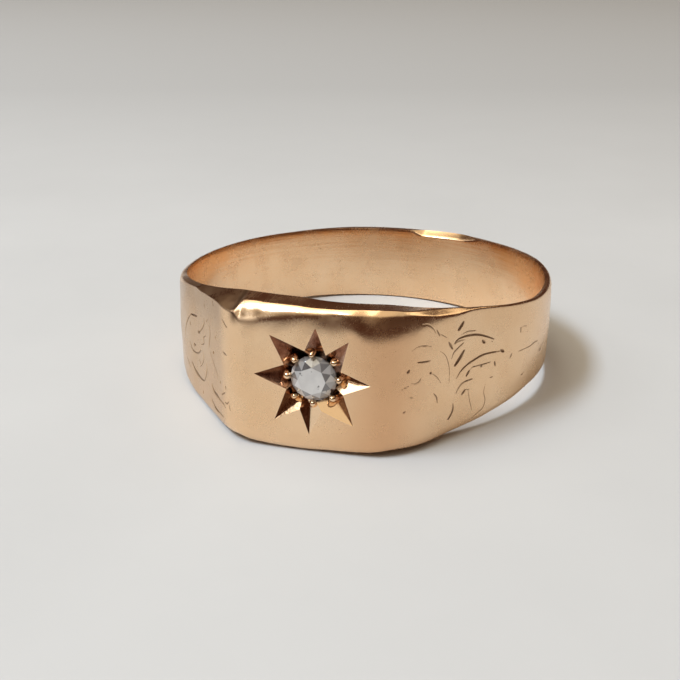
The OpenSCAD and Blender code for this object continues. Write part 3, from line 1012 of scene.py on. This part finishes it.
class SIGNET_OT_head(bpy.types.Operator):
    """The flat head with its worn edges, cut with an eight-rayed star"""

    bl_idname = "signet.head"
    bl_label = "Signet Head"

    def execute(self, context):
        band, star = settings("band"), settings("star")
        rib_step, sharp_cut = 0.07 * MM, 20 * DEG
        section = Section(over=110, under=60, bore=10, bore_edge=5)
        head = metal_piece("head_metal", head_angles(band, rib_step), section)
        head.data.materials.append(gold("worn_rose_gold"))
        shapes = [(*seat_cutter(star, band.face_reach - band.bore_radius), None)]
        tips, notches = (around_stone([ray[i] for ray in STAR_RAYS]) for i in (0, 1))
        for i, (_, _, fall, aside, bright) in enumerate(STAR_RAYS):
            shape = ray_cutter(tips[i], (notches[i - 1], notches[i]), fall, aside, star)
            shapes.append((*shape, bright))
        for points, faces, bright in shapes:
            cutter = mesh_piece("star_cutter", points, faces)
            cutter.data.materials.append(gold("dull_star_cut"))
            cutter.data.materials.append(gold("bright_star_cut"))
            # The listed side gets the lit copy of the cut's gold, a painted highlight.
            if bright is not None:
                cutter.data.polygons[bright].material_index = 1
            outward(cutter)
            carve(head, cutter)
        soften(head, sharp_cut)
        finish_piece(head, "gold", None, "signet_head")
        return {"FINISHED"}


def shoulder_angles(band, fineness):
    """Angles of a shoulder's ribs, close together where it is engraved."""
    trials = 4000
    coarser = 7
    engraved_end = 6.3 * MM, 9 * MM
    trial = np.linspace(*shoulder_ends(band), trials)
    run = run_along(Ribs(trial, band).outer)
    spacing = fineness * (1 + coarser * eased(run, *engraved_end))
    count = np.concatenate([[0], np.cumsum(np.diff(run) / spacing[1:])])
    return np.interp(np.linspace(0, count[-1], int(count[-1]) + 1), count, trial)


class SIGNET_OT_shoulders(bpy.types.Operator):
    """The two tapering shoulders with their scroll engraving"""

    bl_idname = "signet.shoulders"
    bl_label = "Engraved Shoulders"

    def execute(self, context):
        angles = shoulder_angles(settings("band"), settings("engraving").fineness)
        section = Section(over=118, under=86, bore=6)
        for side, sign, cuts in (("left", -1, LEFT_SCROLLS), ("right", 1, RIGHT_SCROLLS)):
            piece = metal_piece("engraved_shoulder_" + side, sign * angles, section, engraver(cuts))
            finish_piece(piece, "gold", gold("worn_rose_gold"), side + "_shoulder")
        return {"FINISHED"}


class SIGNET_OT_back(bpy.types.Operator):
    """The plain section let into the back of the band"""

    bl_idname = "signet.back"
    bl_label = "Back of the Band"

    def execute(self, context):
        half = settings("band").back_seam
        ribs = 150
        angles = np.linspace(math.pi - half, math.pi + half, ribs)
        piece = metal_piece("back_of_band", angles, Section(over=48, under=30))
        finish_piece(piece, "gold", gold("worn_rose_gold"), "back_shank")
        return {"FINISHED"}


class SIGNET_OT_seams(bpy.types.Operator):
    """The four thin solder seams"""

    bl_idname = "signet.seams"
    bl_label = "Solder Seams"

    def execute(self, context):
        band = settings("band")
        ribs = 5
        seam = np.linspace(0, band.seam, ribs)
        head = np.array([math.asin((band.head_half + x) / band.bore_radius) for x in seam])
        shank = np.linspace(shoulder_ends(band)[1], math.pi - band.back_seam, ribs)
        section = Section(over=110, under=60)
        for label, angles in (("head_seam", head), ("shank_seam", shank)):
            for side, sign in (("left", -1), ("right", 1)):
                node = f"{label}_{side}"
                piece = metal_piece("soldered_" + node, sign * angles, section)
                finish_piece(piece, "solder", gold("pale_solder"), node)
        return {"FINISHED"}


# The stone and its grains


class SIGNET_OT_stone(bpy.types.Operator):
    """The old-cut stone with its table, kites, girdle and blunt culet"""

    bl_idname = "signet.stone"
    bl_label = "Old-cut Stone"

    def execute(self, context):
        star = settings("star")
        top = star.stone_top - settings("band").face_reach
        radius = star.stone_radius
        sides = 8
        crown, girdle, pavilion = 0.36 * MM, 0.08 * MM, 0.92 * MM
        table, culet = 0.625 * MM, 0.15 * MM
        crown_waist, pavilion_waist = 0.45, 0.7

        def ring(count, r, z, turn=0):
            around = [(i + turn) * 2 * math.pi / count for i in range(count)]
            return [(r * math.cos(a), r * math.sin(a), z) for a in around]

        def waist(r, z_end, z_girdle, share):
            reach = r + (radius - r) * share
            corner = reach / math.cos(math.pi / sides)
            return ring(sides, corner, z_end + (z_girdle - z_end) * share, 0.5)

        girdle_top, girdle_low = top - crown, top - crown - girdle
        bottom = girdle_low - pavilion
        points = ring(sides, table, top) + waist(table, top, girdle_top, crown_waist)
        points += ring(2 * sides, radius, girdle_top) + ring(2 * sides, radius, girdle_low)
        points += waist(culet, bottom, girdle_low, pavilion_waist) + ring(sides, culet, bottom)
        upper, lower, kite, point = 2 * sides, 4 * sides, 6 * sides, 7 * sides
        faces = [list(range(sides)), [point + i for i in reversed(range(sides))]]
        for i in range(sides):
            after, before = (i + 1) % sides, (i - 1) % sides
            a, b, c = (upper + (2 * i + turn) % (2 * sides) for turn in range(3))
            d, e, f = (lower + (2 * i + turn) % (2 * sides) for turn in range(3))
            faces += [(i, sides + i, after), (i, a, sides + i), (i, sides + before, a)]
            faces += [(sides + i, a, b), (sides + i, b, c), (a, d, e, b), (b, e, f, c)]
            faces += [(kite + i, e, d), (kite + i, f, e)]
            faces += [(point + i, kite + i, d), (point + i, d, kite + before)]
            faces += [(point + i, point + after, kite + i)]
        stone = mesh_piece("old_cut_stone", on_face(points), faces)
        # Painted light and shade on the facets: a random brightness each, darker towards the top, and a
        # bright table.
        golden, top_shade, table_shine = 0.618, 0.75, 0.8
        heights = [max(0, np.mean([points[i][1] for i in face])) / radius for face in faces]
        facet_light_levels = [(i * golden) % 1 * (1 - top_shade * heights[i]) for i in range(len(faces))]
        facet_light_levels[0] = table_shine
        stone.data.attributes.new("facet", "FLOAT", "FACE").data.foreach_set("value", facet_light_levels)
        outward(stone)
        finish_piece(stone, "stone", old_stone(), "diamond")
        return {"FINISHED"}


def grain_tree(star):
    """A Geometry Nodes tree: grains of uneven size on a circle, realised and given their material."""
    shift, seed, subdivisions = 0.07 * MM, 5, 4
    least_scale, most_scale = (0.85, 0.8, 1.5), (1.15, 1.1, 1.8)
    lean_in = -star.grain_lean / star.grain_ring
    tree = bpy.data.node_groups.new("setting_grains", "GeometryNodeTree")
    sockets = {}
    for label, kind, default in (
        ("Count", "NodeSocketInt", star.grains),
        ("Ring Radius", "NodeSocketFloat", star.grain_ring),
        ("Grain Radius", "NodeSocketFloat", star.grain_radius),
        ("Seed", "NodeSocketInt", seed),
    ):
        socket = tree.interface.new_socket(label, in_out="INPUT", socket_type=kind)
        socket.default_value = default
        sockets[label] = socket.identifier
    tree.interface.new_socket("Geometry", in_out="OUTPUT", socket_type="NodeSocketGeometry")

    def new(kind, inputs, **values):
        return add_node(tree, kind, inputs, **values)

    def uneven(least, most):
        inputs = {0: least, 1: most, "Seed": given["Seed"]}
        return new("FunctionNodeRandomValue", inputs, data_type="FLOAT_VECTOR").outputs[0]

    given = new("NodeGroupInput", {}).outputs
    inputs = {"Vertices": given["Count"], "Radius": given["Ring Radius"]}
    circle = new("GeometryNodeMeshCircle", inputs).outputs["Mesh"]
    shake = uneven((-shift, -shift, -shift), (shift, shift, 0))
    inputs = {"Geometry": circle, "Offset": shake}
    spots = new("GeometryNodeSetPosition", inputs).outputs["Geometry"]
    inputs = {"Subdivisions": subdivisions, "Radius": given["Grain Radius"]}
    bead = new("GeometryNodeMeshIcoSphere", inputs).outputs["Mesh"]
    inputs = {0: new("GeometryNodeInputPosition", {}).outputs[0], 1: (lean_in, lean_in, 0), 2: (0, 0, 1)}
    inward = new("ShaderNodeVectorMath", inputs, operation="MULTIPLY_ADD").outputs["Vector"]
    lean = new("FunctionNodeAlignRotationToVector", {"Vector": inward}, axis="Z").outputs["Rotation"]
    scale = uneven(least_scale, most_scale)
    inputs = {"Points": spots, "Instance": bead, "Rotation": lean, "Scale": scale}
    grains = new("GeometryNodeInstanceOnPoints", inputs).outputs["Instances"]
    for kind in ("GeometryNodeRealizeInstances", "GeometryNodeSetShadeSmooth"):
        grains = new(kind, {"Geometry": grains}).outputs["Geometry"]
    inputs = {"Geometry": grains, "Material": gold("bright_grain_gold")}
    painted = new("GeometryNodeSetMaterial", inputs).outputs["Geometry"]
    new("NodeGroupOutput", {"Geometry": painted})
    return tree, sockets


class SIGNET_OT_grains(bpy.types.Operator):
    """The grains of gold raised over the edge of the stone"""

    bl_idname = "signet.grains"
    bl_label = "Setting Grains"

    def execute(self, context):
        star = settings("star")
        tree, sockets = grain_tree(star)
        holder = mesh_piece("raised_grains", [], [])
        modifier = holder.modifiers.new("grains", "NODES")
        modifier.node_group = tree
        modifier[sockets["Count"]] = star.grains
        modifier[sockets["Ring Radius"]] = star.grain_ring
        modifier[sockets["Grain Radius"]] = star.grain_radius
        mesh = realised(holder)
        points = np.zeros(len(mesh.vertices) * 3)
        mesh.vertices.foreach_get("co", points)
        points = points.reshape(-1, 3)
        points[:, 2] -= points[:, 2].max()
        mesh.vertices.foreach_set("co", on_face(points).ravel())
        holder.data = mesh
        outward(holder)
        finish_piece(holder, "gold", None, "setting_grains")
        return {"FINISHED"}


# The stage

WARM, COOL, WHITE = (1, 0.88, 0.66), (0.74, 0.87, 1), (1, 1, 1)

# Soft lights: (place; width and depth; power; tint; whether it hangs level or is aimed at the ring). The
# lengths are in millimetres.
SOFT_LIGHTS = {
    "overhead_softbox": ((-150, -60, 480), (240, 520), 0.7, WARM, True),
    "window": ((-264, -226, 480), (115, 290), 3.2, COOL, True),
    "left_card": ((-459, -123, 399), (260, 170), 0.3, WHITE, False),
    "back_card": ((380, 170, 440), (240, 240), 0.25, WARM, False),
}

# The photograph's camera, fitted to the ring: its own axes, and its place and sensor in millimetres
CAMERA_RIGHT = 0.97156, 0.23658, 0.010195
CAMERA_UP = -0.089374, 0.326481, 0.940969
CAMERA_BACK = 0.21928, -0.91512, 0.33834
CAMERA_PLACE = 10.2027, -48.0729, 15.843
SENSOR_WIDTH = 36

# Where the head's foot stands on the floor, and half the floor's width, in millimetres
TOE = 0, -10.4, -3.47
FLOOR_HALF = 900


def soft_light(name, place, size, power, tint, level):
    """An oblong soft light at a place, aimed straight down or at the ring."""
    lamp = bpy.data.lights.new(name, "AREA")
    lamp.shape = "RECTANGLE"
    lamp.size, lamp.size_y = (side * MM for side in size)
    lamp.energy = power
    lamp.color = tint
    light = bpy.data.objects.new(name, lamp)
    light.location = Vector(place) * MM
    way = Vector((0, 0, -1)) if level else -light.location
    light.rotation_euler = way.to_track_quat("-Z", "Y").to_euler()
    bpy.context.scene.collection.objects.link(light)


def studio_world():
    """A room with dark walls and a pale ceiling."""
    walls, ceiling, ceiling_edge = (0.07, 0.03, 0.019), (0.84, 0.74, 0.57), (0.58, 0.88)
    overhead = Vector((-0.1, -0.25, 0.96)).normalized()
    s = Shader(bpy.data.worlds.new("studio"), "Generated", "Background")
    climb = s.ramp(s.along(overhead), *ceiling_edge, curve="SMOOTHSTEP")
    return s.finish(Color=s.mix(climb, walls, ceiling))


class SIGNET_OT_stage(bpy.types.Operator):
    """A pale floor, soft light and the camera"""

    bl_idname = "signet.stage"
    bl_label = "Stage"

    def execute(self, context):
        stage = settings("stage")
        scene = context.scene
        up = Vector((0, -math.sin(stage.tilt), math.cos(stage.tilt)))
        across = Vector((1, 0, 0))
        ahead = up.cross(across)
        toe, half = Vector(TOE) * MM, FLOOR_HALF * MM
        signs = (-1, -1), (1, -1), (1, 1), (-1, 1)
        corners = [toe + half * (a * across + b * ahead) for a, b in signs]
        floor = mesh_piece("floor", corners, [(0, 1, 2, 3)])
        floor.data.materials.append(floor_material())

        scene.world = studio_world()
        for name, light in SOFT_LIGHTS.items():
            soft_light(name, *light)

        camera = bpy.data.objects.new("camera", bpy.data.cameras.new("camera"))
        camera.data.sensor_width = SENSOR_WIDTH
        camera.data.lens = stage.lens
        camera.data.clip_start = 1 * MM
        axes = Matrix((CAMERA_RIGHT, CAMERA_UP, CAMERA_BACK)).transposed().to_4x4()
        camera.matrix_world = Matrix.Translation(Vector(CAMERA_PLACE) * MM) @ axes
        scene.collection.objects.link(camera)
        scene.camera = camera
        scene.view_settings.view_transform = "Standard"
        return {"FINISHED"}


PIECE_OPERATORS = (
    SIGNET_OT_head,
    SIGNET_OT_shoulders,
    SIGNET_OT_back,
    SIGNET_OT_seams,
    SIGNET_OT_stone,
    SIGNET_OT_grains,
    SIGNET_OT_stage,
)
GROUPS = {
    "band": BandSizes,
    "star": StarSizes,
    "engraving": EngravingSizes,
    "finish": Finish,
    "stage": StageSettings,
}


class SIGNET_PT_panel(bpy.types.Panel):
    """The ring's sizes and pieces"""

    bl_idname = "SIGNET_PT_panel"
    bl_label = "Signet Ring"
    bl_space_type = "VIEW_3D"
    bl_region_type = "UI"
    bl_category = "Signet Ring"

    def draw(self, context):
        for name, group in GROUPS.items():
            box = self.layout.box()
            box.label(text=name.capitalize())
            for key in group.__annotations__:
                box.prop(settings(name), key)
        for operator in PIECE_OPERATORS:
            self.layout.operator(operator.bl_idname)


def register():
    for group in GROUPS.values():
        bpy.utils.register_class(group)
    for name, group in GROUPS.items():
        setattr(bpy.types.Scene, "signet_" + name, PointerProperty(type=group))
    for operator in PIECE_OPERATORS:
        bpy.utils.register_class(operator)
    bpy.utils.register_class(SIGNET_PT_panel)


def unregister():
    bpy.utils.unregister_class(SIGNET_PT_panel)
    for operator in reversed(PIECE_OPERATORS):
        bpy.utils.unregister_class(operator)
    for name, group in GROUPS.items():
        delattr(bpy.types.Scene, "signet_" + name)
        bpy.utils.unregister_class(group)


def main():
    register()
    bpy.ops.signet.head()
    bpy.ops.signet.shoulders()
    bpy.ops.signet.back()
    bpy.ops.signet.seams()
    bpy.ops.signet.stone()
    bpy.ops.signet.grains()
    bpy.ops.signet.stage()


if __name__ == "__main__":
    main()
